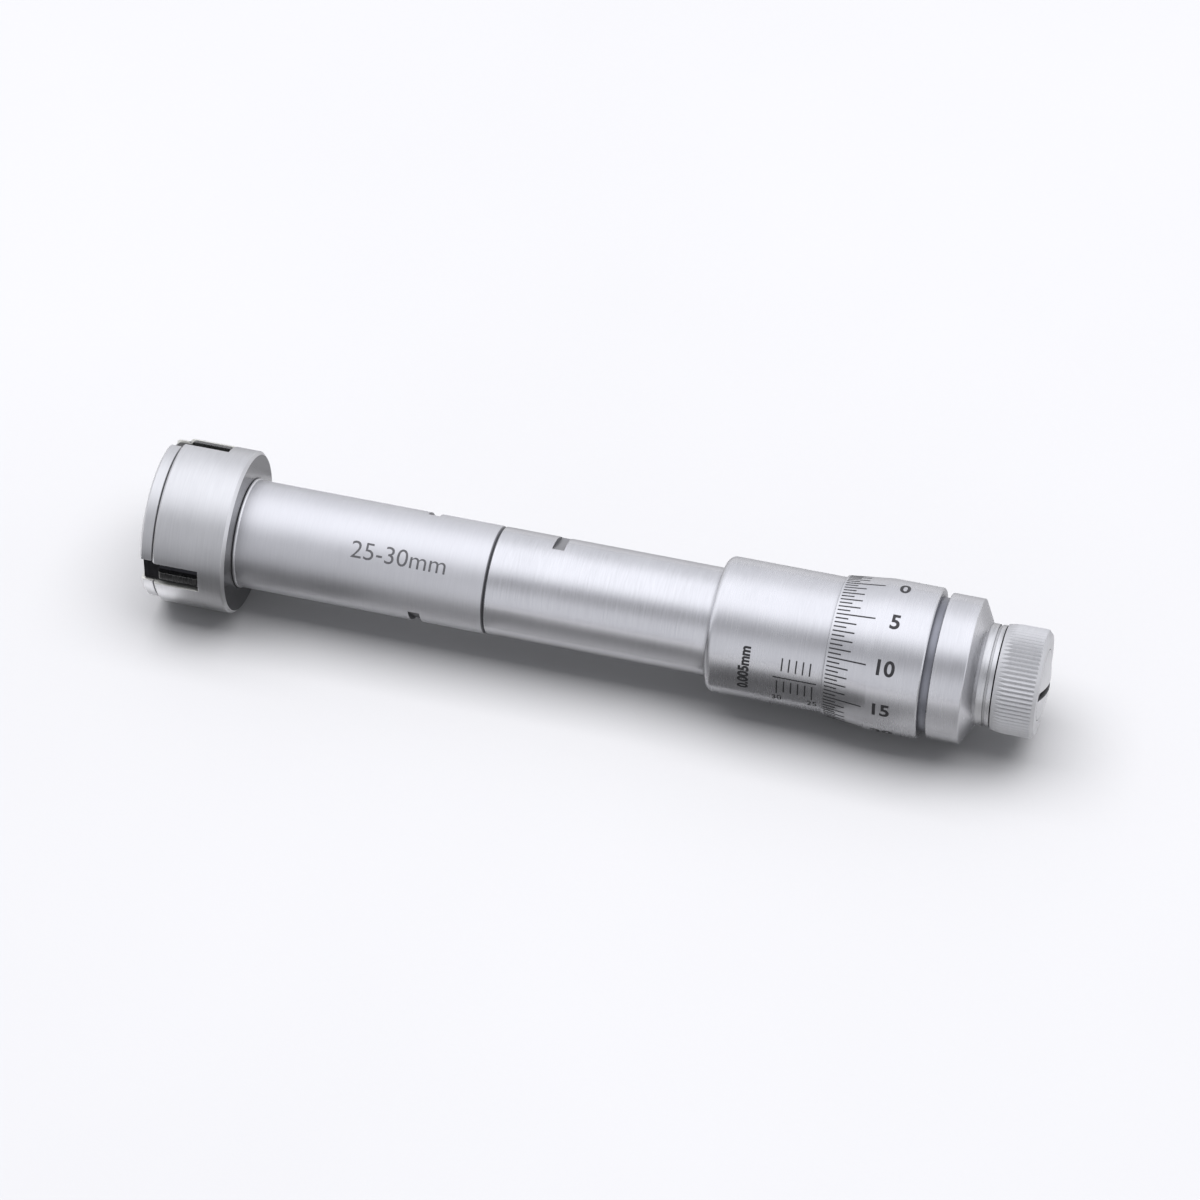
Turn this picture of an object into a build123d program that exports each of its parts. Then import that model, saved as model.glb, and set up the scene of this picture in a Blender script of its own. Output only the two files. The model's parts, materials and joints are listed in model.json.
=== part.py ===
from build123d import *
import math
import os

os.makedirs("parts", exist_ok=True)

# A three-point bore micrometer with its axis level along X, the measuring head at -X and
# the ratchet at +X. Each piece is drawn at its station, the distance behind the head's
# front face, and round the X axis. The last step sets the middle of the tool over the
# origin and the head down on Z = 0.
# An angle around the axis starts straight down and turns towards +Y.

# Fits, each on the radius or on one side
running_gap = 0.05  # what turns or slides in a bore or slot
seat_gap = 0.02  # what is screwed, pressed or set in place
contact_gap = 0.02  # jaw to cone, ball to spindle
barrel_gap = 0.1  # thimble over sleeve, knob over its journal
end_gap = 0.2  # ends that stay clear of each other
overcut = 1.0  # how far a cutting piece runs past the face that it cuts

# Measuring range, read across the three jaws
rest_diameter = 23.635
largest_diameter = 30.0
cone_slope = 0.5  # radius gained per length of cone

# Measuring head
cover_diameter = 22.6
cover_thickness = 2.0
cover_notch_depth = 3.7
head_diameter = 23.5
head_length = 10.5
head_front_bevel = 0.3
head_rear_bevel = 0.45
spigot_diameter = 13.8
spigot_floor = 4.1

# Cone and the rod behind it
cone_tip_diameter = 6.4
cone_guide_diameter = 11.8
cone_guide_length = 4.0
cone_reach = 1.8  # how far the cone's tip lies under the jaws at rest
rod_diameter = 4.4
rod_stud_diameter = 2.5
rod_stud_length = 4.8
ball_diameter = 3.0

# Jaws, each with a hard strip let into its crown
jaw_count = 3
first_jaw_angle = 22.1
jaw_width = 3.8
jaw_length = 5.75
jaw_setback = 0.9  # from the cover to the jaw's front
jaw_lip_front = 0.5  # the station that the jaw's lip reaches, out in the cover's notch
jaw_lip_drop = 0.4  # from the jaw's crown down to the lip's
jaw_lip_height = 2.0
jaw_foot_radius = 2.0
jaw_crown_drop = 0.6  # from the strip down to the jaw's own crown
jaw_crown_width = 1.9
jaw_shoulder_drop = 0.6
lug_height = 2.8
lug_radius = 7.2
strip_width = 1.2
strip_height = 1.7
strip_crown_radius = 5.0
strip_end_bevel = 0.25

# Cover screws and the leaf springs that they hold
screw_circle_diameter = 17.7
screw_angle = 60.0  # from a jaw to the screw beside it
screw_diameter = 1.6
screw_head_diameter = 3.0
screw_length = 5.6
screw_slot_width = 0.4
screw_slot_depth = 0.35
screw_slot_turn = 50.0  # from one screw's slot to the next
leaf_thickness = 0.25
leaf_width = 0.75
leaf_eye_width = 0.5
leaf_bow = 0.75
pocket_margin = 0.3

# Tubes, joined by a stud, with spanner flats beside the joint
tube_diameter = 15.5
tube_bore_diameter = 8.4
front_tube_length = 36.7
rear_tube_length = 32.3
tube_edge_bevel = 0.3
tube_front_bevel = 0.35
stud_diameter = 10.5
stud_length = 8.5
stud_floor = 2.0
flat_across = 14.1
flat_width = 1.7
front_flat_setback = 10.05  # from the joint to the middle of the flat
front_flat_angle = 121.0
rear_flat_setback = 8.85
rear_flat_angle = 144.5

# Bushes, return spring and its seat on the rod
bush_length = 4.5
bush_bevel = 0.3
rear_bush_setback = 11.0  # from the joint to the bush
return_spring_setback = 4.2  # from the rear tube's stud to the spring's washer
return_spring_diameter = 6.8
return_wire_diameter = 0.6
return_spring_turns = 6
washer_thickness = 0.5
washer_diameter = 7.4
clip_thickness = 0.6
clip_diameter = 6.6
clip_groove_diameter = 3.6

# Sleeve and the nut inside it
sleeve_diameter = 19.3
sleeve_showing = 17.0  # from its front end to the thimble at rest
sleeve_rounding = 1.1
nut_diameter = 14.8
nut_spigot_diameter = 11.2
nut_spigot_length = 8.0
nut_relief_diameter = 7.6
nut_lead = 2.5
nut_tail = 3.2
nut_tail_diameter = 12.6
nut_slit_count = 3
nut_slit_width = 0.6
nut_slit_length = 6.0
adjuster_slot_width = 1.2

# Spindle
thread_diameter = 7.0
tip_diameter = 6.0
tip_reach = 5.5  # in front of the sleeve's front end
tip_length = 6.0
tip_bevel = 0.3
taper_diameter = 10.0
taper_drop = 0.3  # on the radius, over the thimble's web
tail_diameter = 8.0
tail_length = 5.6
tapped_depth = 6.0

# Thimble and the pieces that clamp it
thimble_diameter = 21.4
thimble_edge = 0.2
thimble_cone_length = 6.35
thimble_length = 13.6
thimble_web = 2.05
thimble_rear_bevel = 0.2
spacer_diameter = 18.9
spacer_thickness = 1.2
clamp_diameter = 20.55
clamp_length = 4.65
clamp_cone_length = 1.6
clamp_edge_bevel = 0.12

# Ratchet
neck_diameter = 14.4
neck_length = 2.05
neck_groove_depth = 0.2
neck_groove_width = 0.4
base_flange_diameter = 9.9
journal_diameter = 11.2
journal_length = 0.95
tooth_count = 12
tooth_width = 1.4
tooth_height = 0.5
tooth_inner_radius = 2.9
clutch_thickness = 1.45
clutch_lug_count = 3
clutch_lug_width = 1.6
clutch_lug_height = 0.8
knob_diameter = 15.4
knob_length = 6.1
knob_gap = 0.2
knob_front_drop = 0.03
knob_front_taper = 1.6
knob_rear_bevel = 0.6
knob_end_wall = 1.0
knurl_count = 72
knurl_depth = 0.22
ratchet_spring_diameter = 7.2
ratchet_wire_diameter = 0.5
ratchet_spring_turns = 2.5
end_washer_thickness = 0.2
end_screw_diameter = 10.0
end_screw_rim = 0.9
end_screw_dome = 0.8
end_screw_shoulder_diameter = 3.3
end_screw_thread_diameter = 2.4
end_screw_slot_width = 1.2
end_screw_slot_depth = 0.9
end_screw_slot_angle = 150.0

# What follows from the sizes above
cone_travel = (largest_diameter - rest_diameter) / (2 * cone_slope)
jaw_travel = cone_travel * cone_slope

body_front = cover_thickness
head_rear = body_front + head_length
jaw_front = body_front + jaw_setback
jaw_rear = jaw_front + jaw_length
slot_rear = jaw_rear + running_gap
slot_width = jaw_width + 2 * running_gap
cone_tip = jaw_rear - cone_reach
cone_base = cone_tip + (cone_guide_diameter - cone_tip_diameter) / 2 / cone_slope
cone_rear = cone_base + cone_guide_length
cover_hole_radius = cone_tip_diameter / 2 + (body_front + cone_travel - cone_tip) * cone_slope + end_gap
head_bore_radius = cone_guide_diameter / 2 + running_gap
head_bore_floor = cone_rear + end_gap
spigot_rear = head_bore_floor + spigot_floor
rod_radius = rod_diameter / 2
rod_hole_radius = rod_radius + running_gap

front_counterbore_rear = spigot_rear + end_gap
joint = head_rear + front_tube_length
sleeve_front = joint + rear_tube_length
thimble_front = sleeve_front + sleeve_showing
thimble_rear = thimble_front + thimble_length
clamp_front = thimble_rear + spacer_thickness
clamp_edge = clamp_front + clamp_length
neck_front = clamp_edge + clamp_cone_length
neck_rear = neck_front + neck_length
knob_front = neck_rear + knob_gap
knob_rear = knob_front + knob_length
tool_length = knob_rear + end_screw_dome

front_bush_front = front_counterbore_rear
spring_front = front_bush_front + bush_length
stud_front = joint - stud_length
washer_rear = stud_front - return_spring_setback
spring_rear = washer_rear - washer_thickness
rear_bush_front = joint + rear_bush_setback

spindle_tip = sleeve_front - tip_reach
ball_centre = spindle_tip - contact_gap - ball_diameter / 2
web_front = thimble_rear - thimble_web
nut_rear = web_front - cone_travel - end_gap
nut_front = sleeve_front - nut_spigot_length
adjuster_front = nut_rear - nut_tail
thimble_bore_radius = sleeve_diameter / 2 + barrel_gap
tail_rear = thimble_rear + tail_length

base_front = tail_rear + contact_gap
journal_rear = neck_rear + journal_length
clutch_front = journal_rear + contact_gap
clutch_rear = clutch_front + clutch_thickness
end_screw_seat = knob_rear - end_screw_rim
end_washer_front = end_screw_seat - end_washer_thickness
knob_floor = end_washer_front - running_gap
knob_cavity_rear = knob_floor - knob_end_wall


def turned(*outline):
    """A solid turned round X from an outline of (station, radius) points."""
    return revolve(make_face(Polyline(*outline, close=True)), axis=Axis.X)


def ring(front, rear, inner_radius, outer_radius, bevel=0.0):
    """A plain ring, with its outer edges bevelled where a bevel is given."""
    if not bevel:
        return turned(
            (front, inner_radius),
            (front, outer_radius),
            (rear, outer_radius),
            (rear, inner_radius),
        )
    return turned(
        (front, inner_radius),
        (front, outer_radius - bevel),
        (front + bevel, outer_radius),
        (rear - bevel, outer_radius),
        (rear, outer_radius - bevel),
        (rear, inner_radius),
    )


def rod(front, rear, radius):
    """A plain round bar on the axis."""
    return turned((front, 0), (front, radius), (rear, radius), (rear, 0))


def around(piece, angle):
    """Turns a piece drawn straight down to its angle around the axis."""
    return Rot(X=angle) * piece


def down(radius, angle=0.0):
    """The (Y, Z) place at this radius and angle around the axis."""
    turn = math.radians(angle)
    return radius * math.sin(turn), -radius * math.cos(turn)


def across(width, *outline):
    """A slab centred on Y from an outline of (station, radius) points below the axis."""
    points = [(station, -radius) for station, radius in outline]
    return extrude(Plane.XZ * make_face(Polyline(*points, close=True)), amount=width / 2, both=True)


def along(front, length, face):
    """Extrudes a face drawn in (Y, Z) backwards from a station."""
    return extrude(Plane.YZ.offset(front) * face, amount=length)


def block(front, rear, width, low_radius, high_radius):
    """A square-sided block below the axis."""
    return across(width, (front, low_radius), (front, high_radius), (rear, high_radius), (rear, low_radius))


def coil(front, rear, outer_diameter, wire_diameter, turns):
    """A coil spring between two stations, with its wire clear of both by a contact gap."""
    wire = wire_diameter / 2
    start = front + wire + contact_gap
    height = rear - wire - contact_gap - start
    radius = outer_diameter / 2 - wire
    path = Helix(height / turns, height, radius, center=(start, 0, 0), direction=(1, 0, 0))
    section = Plane(origin=path @ 0, z_dir=path % 0) * Circle(wire)
    return sweep(section, path=path, is_frenet=True)


def jaw_angles():
    return [first_jaw_angle + turn * 360 / jaw_count for turn in range(jaw_count)]


def cover_notch():
    notch_radius = cover_diameter / 2 - cover_notch_depth
    return block(-overcut, body_front + overcut, slot_width, notch_radius, cover_diameter)


def make_front_cover():
    """The plate over the jaws: three notches, three countersinks and a hole for the cone's tip."""
    bevel = head_front_bevel
    inner = cover_hole_radius
    outer = cover_diameter / 2
    plate = turned(
        (0, inner + bevel),
        (0, outer - bevel),
        (bevel, outer),
        (cover_thickness - bevel, outer),
        (cover_thickness, outer - bevel),
        (cover_thickness, inner),
        (bevel, inner),
    )
    screw_radius = screw_diameter / 2 + running_gap
    head_radius = screw_head_diameter / 2 + running_gap
    sink = turned(
        (-overcut, 0),
        (-overcut, head_radius),
        (seat_gap, head_radius),
        (seat_gap + head_radius - screw_radius, screw_radius),
        (body_front + overcut, screw_radius),
        (body_front + overcut, 0),
    )
    y, z = down(screw_circle_diameter / 2, screw_angle)
    for angle in jaw_angles():
        plate -= around(cover_notch(), angle)
        plate -= around(Pos(0, y, z) * sink, angle)
    return plate


def make_cover_screws():
    shank = screw_diameter / 2
    head = screw_head_diameter / 2
    front = seat_gap * 2
    body = turned(
        (front, 0),
        (front, head),
        (front + head - shank, shank),
        (front + screw_length, shank),
        (front + screw_length, 0),
    )
    slot = Pos(front, 0, 0) * Box(2 * screw_slot_depth, screw_head_diameter + overcut, screw_slot_width)
    y, z = down(screw_circle_diameter / 2, screw_angle)
    screws = []
    for number, angle in enumerate(jaw_angles()):
        screw = body - Rot(X=number * screw_slot_turn) * slot
        screws.append(around(Pos(0, y, z) * screw, angle))
    return screws


def leaf_arc(tip_radius):
    """The middle line of a leaf spring, from the screw's centre to the jaw's lug."""
    start = down(screw_circle_diameter / 2, screw_angle)
    middle = down(screw_circle_diameter / 2 - leaf_bow / 2, screw_angle / 2)
    return ThreePointArc(start, middle, down(tip_radius))


def leaf_tip_radius():
    return lug_radius + contact_gap + leaf_thickness / 2


def leaf_pocket():
    """The shallow pocket in the head's front where a leaf spring moves."""
    margin = leaf_thickness / 2 + pocket_margin
    eye_y, eye_z = down(screw_circle_diameter / 2, screw_angle)
    eye = Pos(eye_y, eye_z) * Circle(screw_diameter / 2 + running_gap + leaf_eye_width + pocket_margin)
    bow_y, bow_z = down(screw_circle_diameter / 2 - leaf_bow / 2, screw_angle / 2)
    bow = Pos(bow_y, bow_z) * Circle(margin)
    tip_y, tip_z = down(leaf_tip_radius())
    rest_tip = Pos(tip_y, tip_z) * Circle(margin)
    open_tip = Pos(tip_y, tip_z - jaw_travel) * Circle(margin)
    shape = make_hull(eye.edges() + bow.edges() + rest_tip.edges() + open_tip.edges())
    depth = leaf_width + 2 * contact_gap + running_gap
    return along(body_front - overcut, depth + overcut, shape)


def make_leaf_spring(angle):
    eye_y, eye_z = down(screw_circle_diameter / 2, screw_angle)
    hole = screw_diameter / 2 + seat_gap
    eye = Circle(hole + leaf_eye_width)
    leaf = trace(leaf_arc(leaf_tip_radius()), leaf_thickness) + Pos(eye_y, eye_z) * eye
    leaf -= Pos(eye_y, eye_z) * Circle(hole)
    return around(along(body_front + contact_gap, leaf_width, leaf), angle)


def make_head_body():
    outer = head_diameter / 2
    spigot = spigot_diameter / 2
    body = turned(
        (body_front, head_bore_radius),
        (body_front, outer - head_front_bevel),
        (body_front + head_front_bevel, outer),
        (head_rear - head_rear_bevel, outer),
        (head_rear, outer - head_rear_bevel),
        (head_rear, spigot),
        (spigot_rear, spigot),
        (spigot_rear, rod_hole_radius),
        (head_bore_floor, rod_hole_radius),
        (head_bore_floor, head_bore_radius),
    )
    slot = block(body_front - overcut, slot_rear, slot_width, head_bore_radius / 2, head_diameter)
    y, z = down(screw_circle_diameter / 2, screw_angle)
    tapped_rear = screw_length + end_gap
    tapped = Pos(0, y, z) * rod(body_front - overcut, tapped_rear, screw_diameter / 2 + seat_gap)
    for angle in jaw_angles():
        body -= around(slot, angle)
        body -= around(leaf_pocket(), angle)
        body -= around(tapped, angle)
    return body


def cone_radius(station):
    """Radius of the cone at rest."""
    return cone_tip_diameter / 2 + (station - cone_tip) * cone_slope


def jaw_section(half_width):
    """The jaw seen along the tool: straight sides, sloped shoulders and a flat crown."""
    crown = rest_diameter / 2 - jaw_crown_drop
    shoulder = crown - jaw_shoulder_drop
    flat = jaw_crown_width / 2
    return make_face(
        Polyline(
            (-half_width, 0),
            (-half_width, -shoulder),
            (-flat, -crown),
            (flat, -crown),
            (half_width, -shoulder),
            (half_width, 0),
            close=True,
        )
    )


def make_jaw(angle):
    """The slide under the hard strip, with a lug for the leaf spring and a lip in the cover's notch."""
    crown = rest_diameter / 2 - jaw_crown_drop
    seat_rear = cone_radius(jaw_rear) + contact_gap
    foot_end = jaw_rear - (seat_rear - jaw_foot_radius) / cone_slope
    lug_front = body_front + contact_gap
    lip_crown = crown - jaw_lip_drop
    side = across(
        jaw_width,
        (jaw_rear, seat_rear),
        (jaw_rear, crown),
        (jaw_front, crown),
        (jaw_front, lip_crown),
        (jaw_lip_front, lip_crown),
        (jaw_lip_front, lip_crown - jaw_lip_height),
        (jaw_front, lip_crown - jaw_lip_height),
        (jaw_front, lug_radius),
        (lug_front, lug_radius),
        (lug_front, lug_radius - lug_height),
        (jaw_front, lug_radius - lug_height),
        (jaw_front, jaw_foot_radius),
        (foot_end, jaw_foot_radius),
    )
    jaw = side & along(0, jaw_rear, jaw_section(jaw_width / 2))
    groove_floor = rest_diameter / 2 - strip_height - seat_gap
    groove_width = strip_width + 2 * seat_gap
    groove = block(jaw_front - seat_gap, jaw_rear + overcut, groove_width, groove_floor, head_diameter)
    return around(jaw - groove, angle)


def make_jaw_strip(angle):
    """The hard strip that touches the bore, round across its crown."""
    crown = rest_diameter / 2
    half = strip_width / 2
    drop = strip_crown_radius - math.sqrt(strip_crown_radius**2 - half**2)
    edge = -(crown - drop)
    floor = -(crown - strip_height)
    section = make_face(
        Polyline((half, edge), (half, floor), (-half, floor), (-half, edge))
        + ThreePointArc((-half, edge), (0, -crown), (half, edge))
    )
    bevel = strip_end_bevel
    side = across(
        strip_width + overcut,
        (jaw_front, crown - strip_height - overcut),
        (jaw_front, crown - bevel),
        (jaw_front + bevel, crown + contact_gap),
        (jaw_rear - bevel, crown + contact_gap),
        (jaw_rear, crown - bevel),
        (jaw_rear, crown - strip_height - overcut),
    )
    return around(along(jaw_front, jaw_length, section) & side, angle)


def make_cone():
    guide = cone_guide_diameter / 2
    stud_hole = rod_stud_diameter / 2 + seat_gap
    hole_front = cone_rear - rod_stud_length - end_gap
    return turned(
        (cone_tip, 0),
        (cone_tip, cone_tip_diameter / 2),
        (cone_base, guide),
        (cone_rear, guide),
        (cone_rear, stud_hole),
        (hole_front, stud_hole),
        (hole_front, 0),
    )


def make_push_rod():
    """The rod, with a stud for the cone, a groove for its clip and a seat for the ball."""
    stud = rod_stud_diameter / 2
    groove = clip_groove_diameter / 2
    groove_front = washer_rear + contact_gap
    groove_rear = groove_front + clip_thickness + 2 * contact_gap
    body = turned(
        (cone_rear - rod_stud_length, 0),
        (cone_rear - rod_stud_length, stud),
        (cone_rear, stud),
        (cone_rear, rod_radius),
        (groove_front, rod_radius),
        (groove_front, groove),
        (groove_rear, groove),
        (groove_rear, rod_radius),
        (ball_centre, rod_radius),
        (ball_centre, 0),
    )
    return body - Pos(ball_centre, 0, 0) * Sphere(ball_diameter / 2 + seat_gap)


def make_rod_ball():
    return Pos(ball_centre, 0, 0) * Sphere(ball_diameter / 2)


def make_bush(front):
    return ring(front, front + bush_length, rod_hole_radius, tube_bore_diameter / 2 - seat_gap, bush_bevel)


def make_spring_washer():
    return ring(spring_rear, washer_rear, rod_radius + seat_gap, washer_diameter / 2)


def make_rod_clip():
    front = washer_rear + 2 * contact_gap
    rear = front + clip_thickness
    inner = clip_groove_diameter / 2 + seat_gap
    clip = ring(front, rear, inner, clip_diameter / 2)
    mouth = block(front - overcut, rear + overcut, clip_groove_diameter, 0, clip_diameter)
    return clip - mouth


def make_return_spring():
    return coil(
        spring_front,
        spring_rear,
        return_spring_diameter,
        return_wire_diameter,
        return_spring_turns,
    )


def spanner_flats(middle, angle):
    """The two blocks that cut a pair of spanner flats into a tube."""
    flat = block(
        middle - flat_width / 2,
        middle + flat_width / 2,
        tube_diameter + overcut,
        flat_across / 2,
        tube_diameter,
    )
    return around(flat, angle) + around(flat, angle + 180)


def make_front_tube():
    outer = tube_diameter / 2
    bore = tube_bore_diameter / 2
    counterbore = spigot_diameter / 2 + seat_gap
    thread = stud_diameter / 2 + seat_gap
    thread_front = stud_front - end_gap
    tube = turned(
        (head_rear, counterbore),
        (head_rear, outer - tube_front_bevel),
        (head_rear + tube_front_bevel, outer),
        (joint - tube_edge_bevel, outer),
        (joint, outer - tube_edge_bevel),
        (joint, thread),
        (thread_front, thread),
        (thread_front, bore),
        (front_counterbore_rear, bore),
        (front_counterbore_rear, counterbore),
    )
    return tube - spanner_flats(joint - front_flat_setback, front_flat_angle)


def make_rear_tube():
    outer = tube_diameter / 2
    bore = tube_bore_diameter / 2
    stud = stud_diameter / 2
    socket = nut_spigot_diameter / 2 + seat_gap
    tube = turned(
        (stud_front, rod_hole_radius),
        (stud_front, stud),
        (joint, stud),
        (joint, outer - tube_edge_bevel),
        (joint + tube_edge_bevel, outer),
        (sleeve_front, outer),
        (sleeve_front, socket),
        (nut_front - end_gap, socket),
        (nut_front - end_gap, bore),
        (joint + stud_floor, bore),
        (joint + stud_floor, rod_hole_radius),
    )
    return tube - spanner_flats(joint + rear_flat_setback, rear_flat_angle)


def make_sleeve():
    """The graduated sleeve, rounded at its front end."""
    body = ring(sleeve_front, nut_rear - end_gap, nut_diameter / 2 + seat_gap, sleeve_diameter / 2)
    front_edge = body.edges().group_by(Axis.X)[0].sort_by(SortBy.RADIUS)[-1]
    return fillet(front_edge, sleeve_rounding)


def make_nut_bush():
    """The long nut, split at its tail so that the adjuster can close it on the thread."""
    spigot = nut_spigot_diameter / 2
    outer = nut_diameter / 2
    tail = nut_tail_diameter / 2
    relief = nut_relief_diameter / 2
    thread = thread_diameter / 2 + running_gap
    thread_front = sleeve_front + nut_lead
    bush = turned(
        (nut_front, relief),
        (nut_front, spigot),
        (sleeve_front, spigot),
        (sleeve_front, outer),
        (adjuster_front, outer),
        (adjuster_front, tail),
        (nut_rear, tail),
        (nut_rear, thread),
        (thread_front, thread),
        (thread_front, relief),
    )
    slit = block(nut_rear - nut_slit_length, nut_rear + overcut, nut_slit_width, 0, nut_diameter)
    for turn in range(nut_slit_count):
        bush -= around(slit, turn * 360 / nut_slit_count)
    return bush


def make_adjuster():
    """The ring nut on the long nut's tail, with two spanner slots."""
    front = adjuster_front + contact_gap
    nut = ring(front, nut_rear, nut_tail_diameter / 2 + seat_gap, nut_diameter / 2)
    slot = block(nut_rear - nut_tail / 2, nut_rear + overcut, adjuster_slot_width, 0, nut_diameter)
    return nut - around(slot, 90) - around(slot, 270)


def make_spindle():
    tip = tip_diameter / 2
    thread = thread_diameter / 2
    tip_rear = spindle_tip + tip_length
    taper = taper_diameter / 2
    tail = tail_diameter / 2
    tapped = end_screw_thread_diameter / 2 + seat_gap
    return turned(
        (spindle_tip, 0),
        (spindle_tip, tip - tip_bevel),
        (spindle_tip + tip_bevel, tip),
        (tip_rear, tip),
        (tip_rear + tip_bevel, thread),
        (web_front, thread),
        (web_front, taper),
        (thimble_rear, taper - taper_drop),
        (thimble_rear, tail),
        (tail_rear, tail),
        (tail_rear, tapped),
        (tail_rear - tapped_depth, tapped),
        (tail_rear - tapped_depth, 0),
    )


def make_thimble():
    outer = thimble_diameter / 2
    hole = taper_diameter / 2 + seat_gap
    return turned(
        (thimble_front, thimble_bore_radius),
        (thimble_front, thimble_bore_radius + thimble_edge),
        (thimble_front + thimble_cone_length, outer),
        (thimble_rear - thimble_rear_bevel, outer),
        (thimble_rear, outer - thimble_rear_bevel),
        (thimble_rear, hole - taper_drop),
        (web_front, hole),
        (web_front, thimble_bore_radius),
    )


def make_thimble_spacer():
    return ring(thimble_rear, clamp_front, tail_diameter / 2 + seat_gap, spacer_diameter / 2)


def make_clamp_nut():
    """The ring that clamps the thimble on its taper, coned down to the ratchet's neck."""
    outer = clamp_diameter / 2
    neck = neck_diameter / 2
    thread = tail_diameter / 2 + seat_gap
    socket = base_flange_diameter / 2 + seat_gap
    bevel = clamp_edge_bevel
    return turned(
        (clamp_front, thread),
        (clamp_front, outer - bevel),
        (clamp_front + bevel, outer),
        (clamp_edge - bevel, outer),
        (clamp_edge, outer - bevel),
        (neck_front, neck),
        (neck_front, socket),
        (base_front - contact_gap, socket),
        (base_front - contact_gap, thread),
    )


def ratchet_teeth(clearance):
    """Saw teeth on the journal's rear face, each a ramp that ends in a step."""
    half = tooth_width / 2 + clearance
    height = tooth_height + clearance
    outer = journal_diameter / 2
    ramp = make_face(
        Polyline(
            (journal_rear - contact_gap, -half),
            (journal_rear - contact_gap, half),
            (journal_rear + height, half),
            (journal_rear + clearance, -half),
            close=True,
        )
    )
    length = outer - tooth_inner_radius + 2 * clearance
    tooth = Pos(0, 0, tooth_inner_radius - clearance) * extrude(ramp, amount=length)
    teeth = tooth
    for number in range(1, tooth_count):
        teeth += Rot(X=number * 360 / tooth_count) * tooth
    return teeth & rod(journal_rear - overcut, journal_rear + height + overcut, outer + clearance)


def make_ratchet_base():
    """The base on which the knob turns: flange, neck, journal and face teeth."""
    flange = base_flange_diameter / 2
    neck = neck_diameter / 2
    journal = journal_diameter / 2
    hole = end_screw_thread_diameter / 2 + seat_gap
    groove_front = neck_front + neck_length / 2
    base = turned(
        (base_front, hole),
        (base_front, flange),
        (neck_front, flange),
        (neck_front, neck),
        (groove_front, neck),
        (groove_front, neck - neck_groove_depth),
        (groove_front + neck_groove_width, neck - neck_groove_depth),
        (groove_front + neck_groove_width, neck),
        (neck_rear, neck),
        (neck_rear, journal),
        (journal_rear, journal),
        (journal_rear, hole),
    )
    return base + ratchet_teeth(0)


def clutch_lugs(clearance, rear):
    """The lugs that key the clutch to the knob, or the keyways for them."""
    inner = end_screw_shoulder_diameter
    outer = journal_diameter / 2 + clutch_lug_height + clearance
    lug = block(clutch_front - clearance, rear, clutch_lug_width + 2 * clearance, inner, outer)
    lugs = lug
    for turn in range(1, clutch_lug_count):
        lugs += around(lug, turn * 360 / clutch_lug_count)
    return lugs


def make_ratchet_clutch():
    hole = end_screw_shoulder_diameter / 2 + running_gap
    disc = ring(clutch_front, clutch_rear, hole, journal_diameter / 2)
    disc += clutch_lugs(0, clutch_rear)
    return disc - ratchet_teeth(contact_gap * 2)


def knurl_face():
    """A ring of V grooves, seen along the tool."""
    points = []
    for number in range(2 * knurl_count):
        radius = knob_diameter / 2 - (knurl_depth if number % 2 else 0)
        points.append(down(radius, number * 180 / knurl_count))
    return make_face(Polyline(*points, close=True))


def make_ratchet_knob():
    """The knurled cap: a cavity for the clutch, keyways, and an end wall under the screw."""
    outer = knob_diameter / 2
    cavity = journal_diameter / 2 + barrel_gap
    shoulder_hole = end_screw_shoulder_diameter / 2 + running_gap
    recess = end_screw_diameter / 2 + barrel_gap
    cap = turned(
        (knob_front, cavity),
        (knob_front, outer - knurl_depth - knob_front_drop),
        (knob_front + knob_front_taper, outer),
        (knob_rear - knob_rear_bevel, outer),
        (knob_rear, outer - knob_rear_bevel),
        (knob_rear, recess),
        (knob_floor, recess),
        (knob_floor, shoulder_hole),
        (knob_cavity_rear, shoulder_hole),
        (knob_cavity_rear, cavity),
    )
    cap &= along(knob_front - overcut, knob_length + 2 * overcut, knurl_face())
    return cap - clutch_lugs(running_gap, knob_cavity_rear)


def make_ratchet_spring():
    return coil(
        clutch_rear,
        knob_cavity_rear,
        ratchet_spring_diameter,
        ratchet_wire_diameter,
        ratchet_spring_turns,
    )


def make_end_washer():
    hole = end_screw_shoulder_diameter / 2 + seat_gap
    return ring(end_washer_front, end_screw_seat, hole, end_screw_diameter / 2)


def make_end_screw():
    """The shoulder screw that holds the knob, with a domed and slotted head."""
    thread = end_screw_thread_diameter / 2
    shoulder = end_screw_shoulder_diameter / 2
    head = end_screw_diameter / 2
    thread_front = tail_rear - tapped_depth + end_gap
    shoulder_front = journal_rear + contact_gap
    outline = Polyline(
        (tool_length, 0),
        (thread_front, 0),
        (thread_front, thread),
        (shoulder_front, thread),
        (shoulder_front, shoulder),
        (end_screw_seat, shoulder),
        (end_screw_seat, head),
        (knob_rear, head),
    )
    dome_height = tool_length - knob_rear
    dome_radius = (head**2 + dome_height**2) / (2 * dome_height)
    half = head / 2
    crest = tool_length - dome_radius + math.sqrt(dome_radius**2 - half**2)
    dome = ThreePointArc((knob_rear, head), (crest, half), (tool_length, 0))
    screw = revolve(make_face(outline + dome), axis=Axis.X)
    slot = Box(2 * end_screw_slot_depth, end_screw_diameter + overcut, end_screw_slot_width)
    return screw - Rot(X=end_screw_slot_angle) * Pos(tool_length, 0, 0) * slot


def save(name, pieces):
    """Moves a piece, or a group of like pieces, to its place and writes it."""
    group = pieces if isinstance(pieces, list) else [pieces]
    place = Pos(-tool_length / 2, 0, head_diameter / 2)
    solids = [place * solid for piece in group for solid in piece.solids()]
    export_step(Compound(children=solids) if len(solids) > 1 else solids[0], f"parts/{name}.step")


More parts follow.
